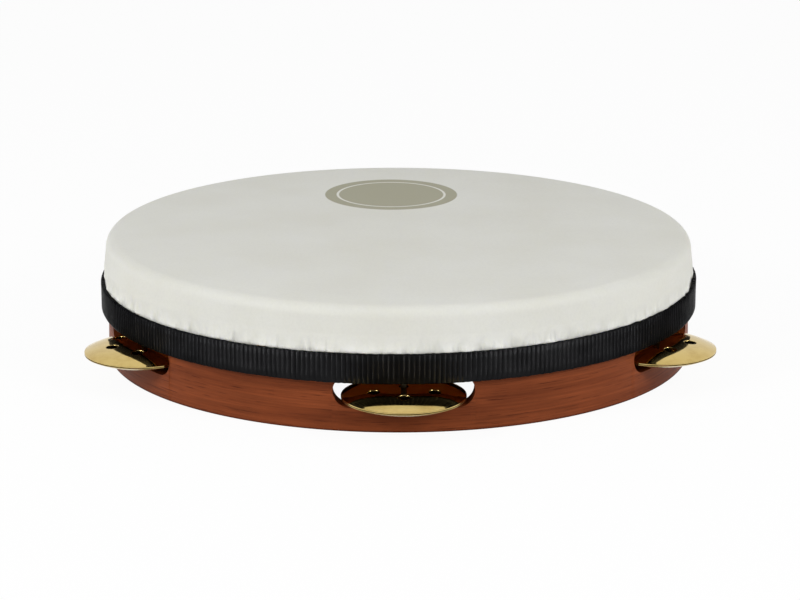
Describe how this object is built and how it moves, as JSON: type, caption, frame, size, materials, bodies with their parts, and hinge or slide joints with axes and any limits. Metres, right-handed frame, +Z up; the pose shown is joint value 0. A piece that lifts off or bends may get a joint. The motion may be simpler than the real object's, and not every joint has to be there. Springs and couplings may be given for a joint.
{
  "type": "pandeiro",
  "caption": "Round hand frame drum with a slotted bent wood shell, a glued pale skin under black webbing, and vented brass jingles that spin and rattle on nails.",
  "frame": {"origin": "on the surface that the drum stands on, under the middle of the box that the drum and its jingles fill; the ring's own centre is 8.7 mm behind it, at (0, 0.0087, 0)", "axes": "+Z up, from the open back to the skin; -Y points out through the middle jingle set, number 3, which faces the viewer; +Y is the plain stretch of shell where the hand holds the drum; +X to the viewer's right"},
  "size_m": [0.2646, 0.277, 0.0519],
  "materials": {
    "stained_wood": "red-brown stained and varnished bent wood, fine lengthwise grain",
    "napa_skin": "pale smooth matt skin, finely puckered where it turns down over the rim",
    "black_webbing": "matt black ribbed webbing, glued on",
    "brass": "polished pressed brass sheet",
    "nail_steel": "plain bright steel nail"
  },
  "bodies": {
    "drum": {"wood_shell": "stained_wood", "skin_head": "napa_skin", "webbing_band": "black_webbing", "jingle_nail_1": "nail_steel", "jingle_nail_2": "nail_steel", "jingle_nail_3": "nail_steel", "jingle_nail_4": "nail_steel", "jingle_nail_5": "nail_steel"},
    "lower_jingle_1": {"lower_jingle_1": "brass"},
    "damper_disc_1": {"damper_disc_1": "brass"},
    "upper_jingle_1": {"upper_jingle_1": "brass"},
    "lower_jingle_2": {"lower_jingle_2": "brass"},
    "damper_disc_2": {"damper_disc_2": "brass"},
    "upper_jingle_2": {"upper_jingle_2": "brass"},
    "lower_jingle_3": {"lower_jingle_3": "brass"},
    "damper_disc_3": {"damper_disc_3": "brass"},
    "upper_jingle_3": {"upper_jingle_3": "brass"},
    "lower_jingle_4": {"lower_jingle_4": "brass"},
    "damper_disc_4": {"damper_disc_4": "brass"},
    "upper_jingle_4": {"upper_jingle_4": "brass"},
    "lower_jingle_5": {"lower_jingle_5": "brass"},
    "damper_disc_5": {"damper_disc_5": "brass"},
    "upper_jingle_5": {"upper_jingle_5": "brass"}
  },
  "joints": [
    {"name": "lower_spin_1", "type": "hinge", "parent": "drum", "child": "lower_jingle_1", "pos_m": [-0.10249, 0.07526, 0.0138], "axis": [0, 0, 1], "continuous": true},
    {"name": "rattle_1", "type": "slide", "parent": "lower_jingle_1", "child": "damper_disc_1", "axis": [0, 0, 1], "range_m": [0, 0.002]},
    {"name": "upper_spin_1", "type": "hinge", "parent": "damper_disc_1", "child": "upper_jingle_1", "pos_m": [-0.10249, 0.07526, 0.01405], "axis": [0, 0, 1], "continuous": true},
    {"name": "lower_spin_2", "type": "hinge", "parent": "drum", "child": "lower_jingle_2", "pos_m": [-0.10739, -0.04961, 0.0138], "axis": [0, 0, 1], "continuous": true},
    {"name": "rattle_2", "type": "slide", "parent": "lower_jingle_2", "child": "damper_disc_2", "axis": [0, 0, 1], "range_m": [0, 0.002]},
    {"name": "upper_spin_2", "type": "hinge", "parent": "damper_disc_2", "child": "upper_jingle_2", "pos_m": [-0.10739, -0.04961, 0.01405], "axis": [0, 0, 1], "continuous": true},
    {"name": "lower_spin_3", "type": "hinge", "parent": "drum", "child": "lower_jingle_3", "pos_m": [0, -0.1135, 0.0138], "axis": [0, 0, 1], "continuous": true},
    {"name": "rattle_3", "type": "slide", "parent": "lower_jingle_3", "child": "damper_disc_3", "axis": [0, 0, 1], "range_m": [0, 0.002]},
    {"name": "upper_spin_3", "type": "hinge", "parent": "damper_disc_3", "child": "upper_jingle_3", "pos_m": [0, -0.1135, 0.01405], "axis": [0, 0, 1], "continuous": true},
    {"name": "lower_spin_4", "type": "hinge", "parent": "drum", "child": "lower_jingle_4", "pos_m": [0.10739, -0.04961, 0.0138], "axis": [0, 0, 1], "continuous": true},
    {"name": "rattle_4", "type": "slide", "parent": "lower_jingle_4", "child": "damper_disc_4", "axis": [0, 0, 1], "range_m": [0, 0.002]},
    {"name": "upper_spin_4", "type": "hinge", "parent": "damper_disc_4", "child": "upper_jingle_4", "pos_m": [0.10739, -0.04961, 0.01405], "axis": [0, 0, 1], "continuous": true},
    {"name": "lower_spin_5", "type": "hinge", "parent": "drum", "child": "lower_jingle_5", "pos_m": [0.10249, 0.07526, 0.0138], "axis": [0, 0, 1], "continuous": true},
    {"name": "rattle_5", "type": "slide", "parent": "lower_jingle_5", "child": "damper_disc_5", "axis": [0, 0, 1], "range_m": [0, 0.002]},
    {"name": "upper_spin_5", "type": "hinge", "parent": "damper_disc_5", "child": "upper_jingle_5", "pos_m": [0.10249, 0.07526, 0.01405], "axis": [0, 0, 1], "continuous": true}
  ]
}
